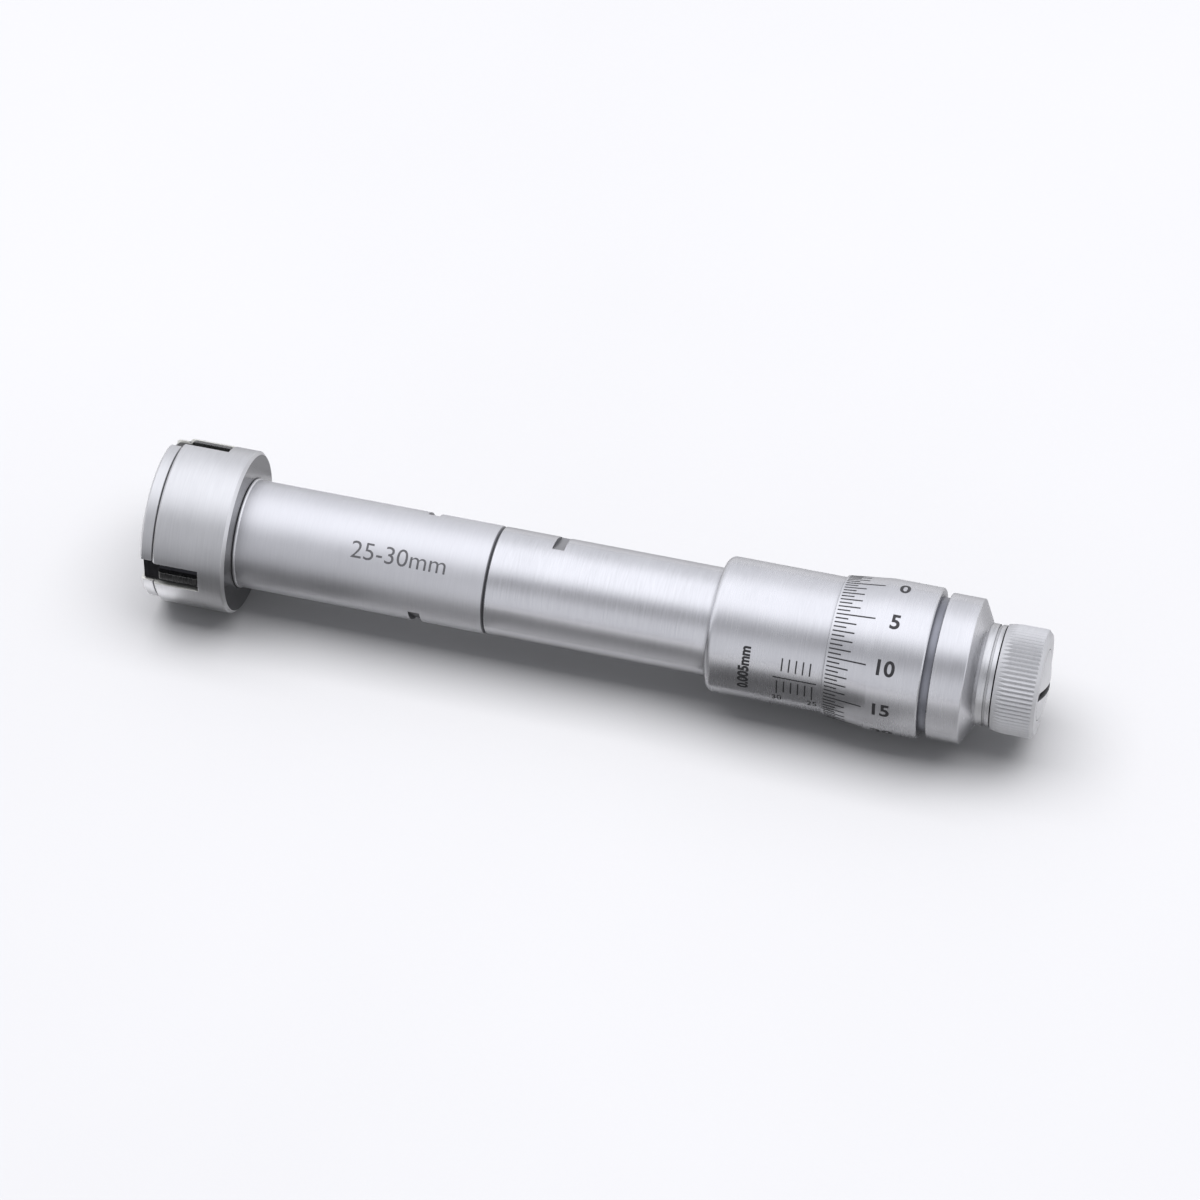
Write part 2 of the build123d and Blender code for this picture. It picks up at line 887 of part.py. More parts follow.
save("front_cover", make_front_cover())
save("cover_screws", make_cover_screws())
save("head_body", make_head_body())
for letter, jaw_angle in zip("abcdefgh", jaw_angles()):
    save(f"jaw_{letter}", make_jaw(jaw_angle))
    save(f"jaw_strip_{letter}", make_jaw_strip(jaw_angle))
    save(f"leaf_spring_{letter}", make_leaf_spring(jaw_angle))
save("cone", make_cone())
save("push_rod", make_push_rod())
save("rod_ball", make_rod_ball())
save("spring_washer", make_spring_washer())
save("rod_clip", make_rod_clip())
save("return_spring", make_return_spring())
save("front_bush", make_bush(front_bush_front))
save("rear_bush", make_bush(rear_bush_front))
save("front_tube", make_front_tube())
save("rear_tube", make_rear_tube())
save("sleeve", make_sleeve())
save("nut_bush", make_nut_bush())
save("adjuster", make_adjuster())
save("spindle", make_spindle())
save("thimble", make_thimble())
save("thimble_spacer", make_thimble_spacer())
save("clamp_nut", make_clamp_nut())
save("ratchet_base", make_ratchet_base())
save("ratchet_clutch", make_ratchet_clutch())
save("ratchet_spring", make_ratchet_spring())
save("ratchet_knob", make_ratchet_knob())
save("end_washer", make_end_washer())
save("end_screw", make_end_screw())
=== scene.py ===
import bpy
import bmesh
import json
import math
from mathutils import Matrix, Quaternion, Vector


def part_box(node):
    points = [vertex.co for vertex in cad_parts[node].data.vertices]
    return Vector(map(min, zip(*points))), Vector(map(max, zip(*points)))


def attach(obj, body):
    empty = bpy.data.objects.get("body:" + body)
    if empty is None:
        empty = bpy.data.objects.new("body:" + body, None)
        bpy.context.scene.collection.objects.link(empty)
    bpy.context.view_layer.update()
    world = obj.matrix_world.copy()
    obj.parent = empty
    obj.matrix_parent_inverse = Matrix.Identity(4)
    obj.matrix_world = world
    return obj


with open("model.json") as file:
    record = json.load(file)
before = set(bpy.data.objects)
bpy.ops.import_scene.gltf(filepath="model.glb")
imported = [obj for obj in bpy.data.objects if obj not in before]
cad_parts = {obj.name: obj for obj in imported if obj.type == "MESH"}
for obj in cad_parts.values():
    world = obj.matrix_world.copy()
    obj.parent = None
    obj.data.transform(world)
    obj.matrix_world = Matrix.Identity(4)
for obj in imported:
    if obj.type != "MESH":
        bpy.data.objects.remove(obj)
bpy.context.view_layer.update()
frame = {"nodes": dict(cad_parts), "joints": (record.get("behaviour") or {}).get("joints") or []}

# Looks of a three-point bore micrometer, with its axis level.
# Lengths in the dictionaries are millimetres, as on the drawing, and everything built is in metres.
# A station is a distance behind the head's front face. An angle round the tool starts straight down
# and turns towards +Y, as in the source of the part.

scene = bpy.context.scene
mm = 0.001
nodes = frame["nodes"]

headLow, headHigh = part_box("head_body")
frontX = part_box("front_cover")[0].x  # the head's front face
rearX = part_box("end_screw")[1].x
axisHeight = (headLow.z + headHigh.z) / 2


def frontStation(name):
    # where a part begins, behind the head's front face
    return (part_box(name)[0].x - frontX) / mm


def outerRadius(name):
    low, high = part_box(name)
    return (high.z - low.z) / 2 / mm


tubeRadius = outerRadius("front_tube")
sleeveRadius = outerRadius("sleeve")
coneTravel = [joint for joint in frame["joints"] if joint["name"] == "cone_slide"][0]["range_m"][1] / mm
print("frame loaded,", len(nodes), "parts")


photoView = {
    "place": (122.83, -419.26, 563.48),  # where the camera stood, in the tool's own frame
    "lens": 150.0,  # long enough for the tool alone to fill the picture
    "sensor": 36.0,
    "roll": -2.1,  # degrees, sets the slope of the tool in the picture
    "nearest": 10.0, "farthest": 20000.0,
}


def makeCamera(view):
    data = bpy.data.cameras.new("camera")
    data.lens = view["lens"]
    data.sensor_width = view["sensor"]
    data.clip_start = view["nearest"] * mm
    data.clip_end = view["farthest"] * mm
    camera = bpy.data.objects.new("camera", data)
    place = Vector(view["place"]) * mm
    target = Vector(((frontX + rearX) / 2, 0, axisHeight))
    look = (target - place).to_track_quat("-Z", "Y")
    camera.rotation_mode = "QUATERNION"
    camera.location = place
    camera.rotation_quaternion = look @ Quaternion((0, 0, 1), math.radians(view["roll"]))
    scene.collection.objects.link(camera)
    scene.camera = camera


makeCamera(photoView)
print("camera placed")


noiseReach = (0.3, 0.7)  # most of a noise's values lie between these


def newMaterial(name):
    material = bpy.data.materials.new(name)
    material.use_nodes = True
    tree = material.node_tree
    return material, tree, tree.nodes["Principled BSDF"]


def addNode(tree, kind, **settings):
    # a setting is one of the node's own inputs, or else one of its properties
    node = tree.nodes.new(kind)
    for key, value in settings.items():
        if key in node.inputs:
            node.inputs[key].default_value = value
        else:
            setattr(node, key, value)
    return node


def mathNode(tree, operation, *values):
    # each value is a number or another node's output
    node = addNode(tree, "ShaderNodeMath", operation=operation)
    for socket, value in zip(node.inputs, values):
        if isinstance(value, (int, float)):
            socket.default_value = value
        else:
            tree.links.new(value, socket)
    return node.outputs[0]


def likenessOf(tree, first, second):
    # the cosine between two directions
    node = addNode(tree, "ShaderNodeVectorMath", operation="DOT_PRODUCT")
    tree.links.new(first, node.inputs[0])
    tree.links.new(second, node.inputs[1])
    return node.outputs["Value"]


def splitCoordinates(tree, kind):
    # X, Y and Z of a coordinate, such as Object or Normal
    place = tree.nodes.new("ShaderNodeTexCoord")
    split = tree.nodes.new("ShaderNodeSeparateXYZ")
    tree.links.new(place.outputs[kind], split.inputs[0])
    return split.outputs


def spread(tree, value, low, high, outLow, outHigh):
    # turns low..high into outLow..outHigh
    node = tree.nodes.new("ShaderNodeMapRange")
    tree.links.new(value, node.inputs["Value"])
    for key, number in (("From Min", low), ("From Max", high), ("To Min", outLow), ("To Max", outHigh)):
        node.inputs[key].default_value = number
    return node.outputs["Result"]


def mixColour(tree, share, first, second):
    mix = addNode(tree, "ShaderNodeMix", data_type="RGBA")
    tree.links.new(share, mix.inputs["Factor"])
    tree.links.new(first, mix.inputs[6])
    mix.inputs[7].default_value = (*second, 1)
    return mix.outputs[2]


def mixNumber(tree, share, first, second):
    mix = addNode(tree, "ShaderNodeMix", data_type="FLOAT")
    tree.links.new(share, mix.inputs["Factor"])
    tree.links.new(first, mix.inputs[2])
    mix.inputs[3].default_value = second
    return mix.outputs[0]


def latheGroup():
    # coordinates of a turned part, in millimetres: along the axis, out from it, and round it
    group = bpy.data.node_groups.new("latheCoordinates", "ShaderNodeTree")
    group.interface.new_socket("Along", in_out="OUTPUT", socket_type="NodeSocketFloat")
    group.interface.new_socket("Out", in_out="OUTPUT", socket_type="NodeSocketFloat")
    group.interface.new_socket("Round", in_out="OUTPUT", socket_type="NodeSocketVector")
    place = splitCoordinates(group, "Object")
    height = mathNode(group, "SUBTRACT", place["Z"], axisHeight)
    acrossSquare = mathNode(group, "MULTIPLY", place["Y"], place["Y"])
    radius = mathNode(group, "SQRT", mathNode(group, "MULTIPLY_ADD", height, height, acrossSquare))
    safe = mathNode(group, "MAXIMUM", radius, 1e-6)  # never divides by nothing on the axis
    turn = group.nodes.new("ShaderNodeCombineXYZ")
    group.links.new(mathNode(group, "DIVIDE", place["Y"], safe), turn.inputs["Y"])
    group.links.new(mathNode(group, "DIVIDE", height, safe), turn.inputs["Z"])
    end = group.nodes.new("NodeGroupOutput")
    group.links.new(mathNode(group, "MULTIPLY", place["X"], 1 / mm), end.inputs["Along"])
    group.links.new(mathNode(group, "MULTIPLY", radius, 1 / mm), end.inputs["Out"])
    group.links.new(turn.outputs[0], end.inputs["Round"])
    return group


latheCoordinates = latheGroup()


def latheOutputs(tree):
    return addNode(tree, "ShaderNodeGroup", node_tree=latheCoordinates).outputs


def turningNoise(tree, pitch, length, detail=2.0):
    # noise drawn out round the axis, as a lathe or a polishing belt leaves it
    lathe = latheOutputs(tree)
    stretch = addNode(tree, "ShaderNodeVectorMath", operation="SCALE", Scale=length)
    tree.links.new(lathe["Round"], stretch.inputs[0])
    shift = tree.nodes.new("ShaderNodeCombineXYZ")
    tree.links.new(mathNode(tree, "DIVIDE", lathe["Along"], pitch), shift.inputs["X"])
    total = addNode(tree, "ShaderNodeVectorMath", operation="ADD")
    tree.links.new(stretch.outputs[0], total.inputs[0])
    tree.links.new(shift.outputs[0], total.inputs[1])
    noise = addNode(tree, "ShaderNodeTexNoise", noise_dimensions="4D", Scale=1.0, Detail=detail)
    tree.links.new(total.outputs[0], noise.inputs["Vector"])
    tree.links.new(mathNode(tree, "DIVIDE", lathe["Out"], pitch), noise.inputs["W"])
    return noise.outputs["Fac"]


def plainNoise(tree, size, detail=3.0):
    place = tree.nodes.new("ShaderNodeTexCoord")
    noise = addNode(tree, "ShaderNodeTexNoise", Scale=1 / (size * mm), Detail=detail)
    tree.links.new(place.outputs["Object"], noise.inputs["Vector"])
    return noise.outputs["Fac"]


def colourBetween(tree, noise, dark, light):
    ramp = tree.nodes.new("ShaderNodeValToRGB")
    for element, place, colour in zip(ramp.color_ramp.elements, noiseReach, (dark, light)):
        element.position = place
        element.color = (*colour, 1)
    tree.links.new(noise, ramp.inputs["Fac"])
    return ramp.outputs["Color"]


def addBump(tree, shader, height, depth):
    # goes on top of the normal that the shader already has
    bump = addNode(tree, "ShaderNodeBump", Strength=1.0, Distance=depth * mm)
    tree.links.new(height, bump.inputs["Height"])
    previous = shader.inputs["Normal"].links
    if previous:
        tree.links.new(previous[0].from_socket, bump.inputs["Normal"])
    tree.links.new(bump.outputs["Normal"], shader.inputs["Normal"])


# wear, and dirt with painted shade in corners, that all the metals share
wear = {
    "edgeSamples": 4, "edgeLikeness": (0.995, 0.86),  # of the broken edge to the flat: unworn, fully worn
    "chipSize": 0.5, "chipDetail": 4.0, "chipReach": (0.35, 0.6), "chipShare": (0.4, 1.0),
    "dirtAndShadeSamples": 6, "openness": (0.85, 0.3),  # of a place to the sky: clean, dirtiest and most shaded
    "dirtAndShadeColour": (0.03, 0.03, 0.032), "dirtAndShadeRoughness": 0.7,
    "milledDepth": (0.04, 0.1),  # under the turned surface: not milled, milled
    "slotWallFacing": (0.6, 0.4),  # cosine outward or endways: no wall, wall
    "rearFacing": (0.85, 0.95),  # cosine to the rear: no rear face, rear face
}


def edgeShare(tree, rounding):
    # the normal of a broken edge, and a share that is 1 on the edge and 0 away from it
    broken = addNode(tree, "ShaderNodeBevel", samples=wear["edgeSamples"], Radius=rounding * mm)
    surface = tree.nodes.new("ShaderNodeNewGeometry")
    likeness = likenessOf(tree, broken.outputs[0], surface.outputs["Normal"])
    return broken.outputs[0], spread(tree, likeness, *wear["edgeLikeness"], 0.0, 1.0)


def dirtAndShadeShare(tree, reach, share):
    # 0 on an open surface and up to share in its corners, gaps and grooves, which it darkens as dirt and
    # painted shade
    hollow = addNode(tree, "ShaderNodeAmbientOcclusion", samples=wear["dirtAndShadeSamples"],
                     Distance=reach * mm)
    return spread(tree, hollow.outputs["AO"], *wear["openness"], 0.0, share)


def milledAndShadedShare(tree):
    # 1 where the surface lies under the turned tube, as in a spanner flat; its darker colour there is
    # partly the milled finish and partly painted shade
    none, full = wear["milledDepth"]
    return spread(tree, latheOutputs(tree)["Out"], tubeRadius - none, tubeRadius - full, 0.0, 1.0)


def slotWallShare(tree):
    # 1 on a wall that runs along the axis and faces round it, as in a jaw slot
    place = tree.nodes.new("ShaderNodeTexCoord")
    outward = likenessOf(tree, place.outputs["Normal"], latheOutputs(tree)["Round"])
    outward = mathNode(tree, "ABSOLUTE", outward)
    endways = mathNode(tree, "ABSOLUTE", splitCoordinates(tree, "Normal")["X"])
    return spread(tree, mathNode(tree, "MAXIMUM", outward, endways), *wear["slotWallFacing"], 0.0, 1.0)


def shadedRearFaceShare(tree):
    # 1 on a flat that faces the rear; on the head its darker colour is painted shade
    return spread(tree, splitCoordinates(tree, "Normal")["X"], *wear["rearFacing"], 0.0, 1.0)


# surfaces that some parts have machined in another way than the rest of them; the milled flats are also
# painted darker as shade, and the head's rear face is painted darker as shade
machinedPlaces = {"milledAndShaded": milledAndShadedShare, "slotWall": slotWallShare, "shadedRearFace": shadedRearFaceShare}


def turnedMetal(name, look):
    material, tree, shader = newMaterial(name)
    shader.inputs["Metallic"].default_value = 1.0
    marks = turningNoise(tree, look["pitch"], look["markLength"])
    cloud = mathNode(tree, "MULTIPLY", plainNoise(tree, look["smudgeSize"]), 1 - look["markShare"])
    both = mathNode(tree, "MULTIPLY_ADD", marks, look["markShare"], cloud)
    normal, edge = edgeShare(tree, look["edgeRounding"])
    chips = spread(tree, plainNoise(tree, wear["chipSize"], wear["chipDetail"]),
                   *wear["chipReach"], *wear["chipShare"])
    worn = mathNode(tree, "MULTIPLY", mathNode(tree, "MULTIPLY", edge, look["edgeWear"]), chips)
    roughness = spread(tree, both, *noiseReach, *look["roughness"])
    colour = mixColour(tree, worn, colourBetween(tree, both, look["dark"], look["light"]), look["worn"])
    # the milled flats and the head's rear face get a darker colour that is painted shade
    for kind, shareOf in machinedPlaces.items():
        if kind not in look:
            continue
        share = shareOf(tree)
        colour = mixColour(tree, share, colour, look[kind])
        roughness = mixNumber(tree, share, roughness, look[kind + "Roughness"])
        if kind + "Metallic" in look:
            metallic = spread(tree, share, 0.0, 1.0, 1.0, look[kind + "Metallic"])
            tree.links.new(metallic, shader.inputs["Metallic"])
    # dirt and painted shade: corners, gaps and grooves are darkened by how closed in they are
    dirtAndShade = dirtAndShadeShare(tree, look["dirtAndShadeReach"], look["dirtAndShade"])
    colour = mixColour(tree, dirtAndShade, colour, wear["dirtAndShadeColour"])
    roughness = mixNumber(tree, dirtAndShade, roughness, wear["dirtAndShadeRoughness"])
    tree.links.new(colour, shader.inputs["Base Color"])
    tree.links.new(roughness, shader.inputs["Roughness"])
    tree.links.new(normal, shader.inputs["Normal"])
    addBump(tree, shader, marks, look["markDepth"])
    return material


# each metal's two colours, its turning marks and smudges, its worn edges, and the dirt and painted shade
# in its corners
finishes = {
    "tubeChrome": {
        "dark": (0.56, 0.56, 0.575), "light": (0.65, 0.65, 0.665), "roughness": (0.20, 0.27),
        "pitch": 0.16, "markLength": 3.0, "markShare": 0.55, "markDepth": 0.0008, "smudgeSize": 9.0,
        "worn": (0.70, 0.70, 0.70), "edgeWear": 0.5, "edgeRounding": 0.14,
        # the milled flats: a milled finish, painted darker as shade
        "milledAndShaded": (0.34, 0.34, 0.35), "milledAndShadedRoughness": 0.4,
        "dirtAndShadeReach": 0.8, "dirtAndShade": 0.75,
    },
    "frontTubeChrome": {
        "dark": (0.60, 0.60, 0.615), "light": (0.67, 0.67, 0.685), "roughness": (0.38, 0.46),
        "pitch": 0.16, "markLength": 3.0, "markShare": 0.5, "markDepth": 0.0009, "smudgeSize": 9.0,
        "worn": (0.70, 0.70, 0.70), "edgeWear": 0.5, "edgeRounding": 0.14,
        # the milled flats: a milled finish, painted darker as shade
        "milledAndShaded": (0.24, 0.24, 0.25), "milledAndShadedRoughness": 0.4,
        "dirtAndShadeReach": 0.8, "dirtAndShade": 0.75,
    },
    "barrelChrome": {
        "dark": (0.56, 0.56, 0.575), "light": (0.65, 0.65, 0.665), "roughness": (0.22, 0.30),
        "pitch": 0.14, "markLength": 4.0, "markShare": 0.5, "markDepth": 0.0008, "smudgeSize": 7.0,
        "worn": (0.72, 0.72, 0.72), "edgeWear": 0.6, "edgeRounding": 0.16,
        "dirtAndShadeReach": 0.8, "dirtAndShade": 0.75,
    },
    "beadChrome": {
        "dark": (0.66, 0.66, 0.67), "light": (0.74, 0.74, 0.75), "roughness": (0.34, 0.42),
        "pitch": 0.2, "markLength": 3.0, "markShare": 0.5, "markDepth": 0.0008, "smudgeSize": 5.0,
        "worn": (0.76, 0.76, 0.76), "edgeWear": 0.5, "edgeRounding": 0.05,
        "dirtAndShadeReach": 0.15, "dirtAndShade": 0.2,
    },
    "neckChrome": {
        "dark": (0.50, 0.50, 0.505), "light": (0.66, 0.66, 0.665), "roughness": (0.22, 0.34),
        "pitch": 0.35, "markLength": 2.0, "markShare": 0.8, "markDepth": 0.003, "smudgeSize": 4.0,
        "worn": (0.70, 0.70, 0.70), "edgeWear": 0.5, "edgeRounding": 0.08,
        "dirtAndShadeReach": 0.9, "dirtAndShade": 0.75,
    },
    "knobChrome": {
        "dark": (0.52, 0.52, 0.525), "light": (0.62, 0.62, 0.625), "roughness": (0.5, 0.58),
        "pitch": 0.2, "markLength": 4.0, "markShare": 0.5, "markDepth": 0.0008, "smudgeSize": 5.0,
        "worn": (0.74, 0.74, 0.74), "edgeWear": 0.6, "edgeRounding": 0.05,
        "dirtAndShadeReach": 0.4, "dirtAndShade": 0.75,
    },
    "headSteel": {
        "dark": (0.56, 0.56, 0.565), "light": (0.65, 0.65, 0.655), "roughness": (0.32, 0.40),
        "pitch": 0.2, "markLength": 3.0, "markShare": 0.5, "markDepth": 0.0007, "smudgeSize": 6.0,
        "worn": (0.74, 0.74, 0.74), "edgeWear": 0.7, "edgeRounding": 0.16,
        "slotWall": (0.46, 0.46, 0.43), "slotWallRoughness": 0.5, "slotWallMetallic": 0.4,
        # the head's rear face is painted darker as shade
        "shadedRearFace": (0.27, 0.27, 0.275), "shadedRearFaceRoughness": 0.26,
        "dirtAndShadeReach": 0.8, "dirtAndShade": 0.75,
    },
    "endScrewSteel": {
        "dark": (0.58, 0.58, 0.585), "light": (0.68, 0.68, 0.685), "roughness": (0.42, 0.5),
        "pitch": 0.2, "markLength": 3.0, "markShare": 0.5, "markDepth": 0.0007, "smudgeSize": 4.0,
        "worn": (0.74, 0.74, 0.74), "edgeWear": 0.6, "edgeRounding": 0.08,
        "dirtAndShadeReach": 2.5, "dirtAndShade": 0.97,
    },
    "groundSteel": {
        "dark": (0.50, 0.50, 0.51), "light": (0.62, 0.62, 0.63), "roughness": (0.16, 0.24),
        "pitch": 0.1, "markLength": 5.0, "markShare": 0.7, "markDepth": 0.0008, "smudgeSize": 4.0,
        "worn": (0.66, 0.66, 0.66), "edgeWear": 0.4, "edgeRounding": 0.06,
        "dirtAndShadeReach": 0.6, "dirtAndShade": 0.6,
    },
    "springSteel": {
        "dark": (0.34, 0.33, 0.32), "light": (0.46, 0.45, 0.43), "roughness": (0.28, 0.4),
        "pitch": 0.3, "markLength": 8.0, "markShare": 0.4, "markDepth": 0.001, "smudgeSize": 2.0,
        "worn": (0.55, 0.54, 0.52), "edgeWear": 0.4, "edgeRounding": 0.05,
        "dirtAndShadeReach": 0.6, "dirtAndShade": 0.6,
    },
    "bushBronze": {
        "dark": (0.50, 0.33, 0.17), "light": (0.63, 0.43, 0.24), "roughness": (0.28, 0.42),
        "pitch": 0.15, "markLength": 4.0, "markShare": 0.5, "markDepth": 0.0015, "smudgeSize": 3.0,
        "worn": (0.72, 0.52, 0.32), "edgeWear": 0.5, "edgeRounding": 0.06,
        "dirtAndShadeReach": 0.6, "dirtAndShade": 0.6,
    },
    "spacerSteel": {
        "dark": (0.23, 0.235, 0.265), "light": (0.31, 0.315, 0.345), "roughness": (0.24, 0.34),
        "pitch": 0.12, "markLength": 4.0, "markShare": 0.5, "markDepth": 0.001, "smudgeSize": 3.0,
        "worn": (0.36, 0.36, 0.37), "edgeWear": 0.6, "edgeRounding": 0.06,
        "dirtAndShadeReach": 0.9, "dirtAndShade": 0.6,
    },
    "darkSteel": {
        "dark": (0.08, 0.08, 0.088), "light": (0.13, 0.13, 0.14), "roughness": (0.35, 0.5),
        "pitch": 0.12, "markLength": 4.0, "markShare": 0.5, "markDepth": 0.001, "smudgeSize": 3.0,
        "worn": (0.30, 0.30, 0.31), "edgeWear": 0.6, "edgeRounding": 0.06,
        "dirtAndShadeReach": 0.6, "dirtAndShade": 0.6,
    },
    "jawBlack": {
        "dark": (0.018, 0.018, 0.02), "light": (0.045, 0.045, 0.05), "roughness": (0.3, 0.45),
        "pitch": 0.25, "markLength": 8.0, "markShare": 0.5, "markDepth": 0.0015, "smudgeSize": 1.5,
        "worn": (0.22, 0.22, 0.23), "edgeWear": 0.7, "edgeRounding": 0.08,
        "dirtAndShadeReach": 0.5, "dirtAndShade": 0.5,
    },
    "stripCarbide": {
        "dark": (0.10, 0.10, 0.10), "light": (0.17, 0.17, 0.165), "roughness": (0.22, 0.34),
        "pitch": 0.1, "markLength": 8.0, "markShare": 0.6, "markDepth": 0.0006, "smudgeSize": 1.0,
        "worn": (0.34, 0.34, 0.33), "edgeWear": 0.6, "edgeRounding": 0.08,
        "dirtAndShadeReach": 0.4, "dirtAndShade": 0.5,
    },
}

finishOf = {
    "front_cover": "headSteel", "head_body": "headSteel", "cover_screws": "darkSteel",
    "jaw_a": "jawBlack", "jaw_b": "jawBlack", "jaw_c": "jawBlack",
    "jaw_strip_a": "stripCarbide", "jaw_strip_b": "stripCarbide", "jaw_strip_c": "stripCarbide",
    "leaf_spring_a": "springSteel", "leaf_spring_b": "springSteel", "leaf_spring_c": "springSteel",
    "cone": "groundSteel", "push_rod": "groundSteel", "rod_ball": "groundSteel",
    "spring_washer": "springSteel", "rod_clip": "springSteel", "return_spring": "springSteel",
    "front_bush": "bushBronze", "rear_bush": "bushBronze",
    "front_tube": "frontTubeChrome", "rear_tube": "tubeChrome", "sleeve": "barrelChrome",
    "nut_bush": "groundSteel", "adjuster": "groundSteel", "spindle": "groundSteel",
    "thimble": "barrelChrome", "thimble_spacer": "spacerSteel", "clamp_nut": "barrelChrome",
    "ratchet_base": "neckChrome", "ratchet_clutch": "groundSteel", "ratchet_spring": "springSteel",
    "ratchet_knob": "knobChrome", "end_washer": "springSteel", "end_screw": "endScrewSteel",
}

metals = {name: turnedMetal(name, look) for name, look in finishes.items()}
for nodeName, finish in finishOf.items():
    node = nodes[nodeName]
    for place in range(len(node.data.materials)):
        node.data.materials[place] = metals[finish]
print("metals set on", len(finishOf), "parts")


inks = {
    "blackFill": {
        "dark": (0.005, 0.005, 0.006), "light": (0.013, 0.013, 0.014), "roughness": (0.45, 0.65),
    },
    "etchedGrey": {
        "dark": (0.03, 0.03, 0.032), "light": (0.05, 0.05, 0.053), "roughness": (0.5, 0.7),
    },
}
inkGrain = {"cloudSize": 0.35, "cloudDetail": 4.0, "pitSize": 0.06, "pitDepth": 0.002}


def inkMaterial(name, look):
    material, tree, shader = newMaterial(name)
    cloud = plainNoise(tree, inkGrain["cloudSize"], inkGrain["cloudDetail"])
    tree.links.new(colourBetween(tree, cloud, look["dark"], look["light"]), shader.inputs["Base Color"])
    tree.links.new(spread(tree, cloud, *noiseReach, *look["roughness"]), shader.inputs["Roughness"])
    addBump(tree, shader, plainNoise(tree, inkGrain["pitSize"]), inkGrain["pitDepth"])
    return material


inked = {name: inkMaterial(name, look) for name, look in inks.items()}


def pointAt(station, radius, angle):
    turn = math.radians(angle)
    out = radius * mm
    return (frontX + station * mm, out * math.sin(turn), axisHeight - out * math.cos(turn))


def evenRadius(radius):
    # the radius of a plain round part, for the calls that ask it by the station
    return lambda station: radius


def makePiece(name, parts, material, body):
    mesh = bpy.data.meshes.new(name)
    mesh.from_pydata(parts[0], [], parts[1])
    shape = bmesh.new()
    shape.from_mesh(mesh)
    bmesh.ops.recalc_face_normals(shape, faces=shape.faces)
    shape.to_mesh(mesh)
    shape.free()
    mesh.materials.append(material)
    piece = bpy.data.objects.new(name, mesh)
    scene.collection.objects.link(piece)
    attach(piece, body)
    return piece


markFill = {
    "above": 0.015, "below": 0.03,  # how far the fill stands over the metal, and reaches into it
    "turnStep": 3.0, "lengthStep": 1.0, "letterStep": 0.3,  # longest straight bits, the first in degrees
    "curveSteps": 5, "letterDepth": 0.5, "weld": 1e-5,
    "sample": "0",  # a lettering's height is the height of this figure in it
}


def addBar(parts, radiusAt, start, end, angleLow, angleHigh):
    # a bar of fill from station start to end and between two angles, bent over its surface
    steps = max(1, math.ceil((angleHigh - angleLow) / markFill["turnStep"]))
    along = max(1, math.ceil((end - start) / markFill["lengthStep"]))
    verts, faces = parts
    base = len(verts)
    for lift in (-markFill["below"], markFill["above"]):
        for i in range(along + 1):
            for j in range(steps + 1):
                station = start + (end - start) * i / along
                angle = angleLow + (angleHigh - angleLow) * j / steps
                verts.append(pointAt(station, radiusAt(station) + lift, angle))
    row, layer = steps + 1, (along + 1) * (steps + 1)

    def at(level, i, j):
        return base + level * layer + i * row + j

    for i in range(along):
        for j in range(steps):
            faces.append((at(0, i, j), at(0, i, j + 1), at(0, i + 1, j + 1), at(0, i + 1, j)))
            faces.append((at(1, i, j), at(1, i + 1, j), at(1, i + 1, j + 1), at(1, i, j + 1)))
        faces.append((at(0, i, 0), at(0, i + 1, 0), at(1, i + 1, 0), at(1, i, 0)))
        faces.append((at(0, i, steps), at(1, i, steps), at(1, i + 1, steps), at(0, i + 1, steps)))
    for j in range(steps):
        faces.append((at(0, 0, j), at(1, 0, j), at(1, 0, j + 1), at(0, 0, j + 1)))
        faces.append((at(0, along, j), at(0, along, j + 1), at(1, along, j + 1), at(1, along, j)))


def flatLetters(text, bold):
    data = bpy.data.curves.new("lettering", "FONT")
    data.body = text
    data.align_x, data.align_y = "CENTER", "CENTER"
    data.resolution_u = markFill["curveSteps"]
    data.offset = bold
    data.extrude = markFill["letterDepth"]  # only tells the top from the underside
    holder = bpy.data.objects.new("lettering", data)
    scene.collection.objects.link(holder)
    bpy.context.view_layer.update()
    mesh = bpy.data.meshes.new_from_object(holder.evaluated_get(bpy.context.evaluated_depsgraph_get()))
    shape = bmesh.new()
    shape.from_mesh(mesh)
    bpy.data.meshes.remove(mesh)
    bpy.data.objects.remove(holder)
    bpy.data.curves.remove(data)
    return shape


def letterShape(text, height, narrow, bold, side):
    # lettering at its real size, cut up along the side that is bent round the tool: 0 is X, 1 is Y
    sample = flatLetters(markFill["sample"], bold)
    heights = [v.co.y for v in sample.verts]
    scale = height / (max(heights) - min(heights))
    sample.free()
    shape = flatLetters(text, bold)
    bmesh.ops.remove_doubles(shape, verts=shape.verts, dist=markFill["weld"])
    xs = [v.co.x for v in shape.verts]
    ys = [v.co.y for v in shape.verts]
    middle = Vector(((min(xs) + max(xs)) / 2, (min(ys) + max(ys)) / 2, 0))
    for v in shape.verts:
        v.co = v.co - middle
        v.co.x *= scale * narrow
        v.co.y *= scale
    reach = max(abs(v.co[side]) for v in shape.verts)
    across = Vector((1, 0, 0)) if side == 0 else Vector((0, 1, 0))
    cut = -reach + markFill["letterStep"]
    while cut < reach:
        everything = shape.verts[:] + shape.edges[:] + shape.faces[:]
        bmesh.ops.bisect_plane(shape, geom=everything, plane_co=across * cut, plane_no=across)
        cut += markFill["letterStep"]
    return shape


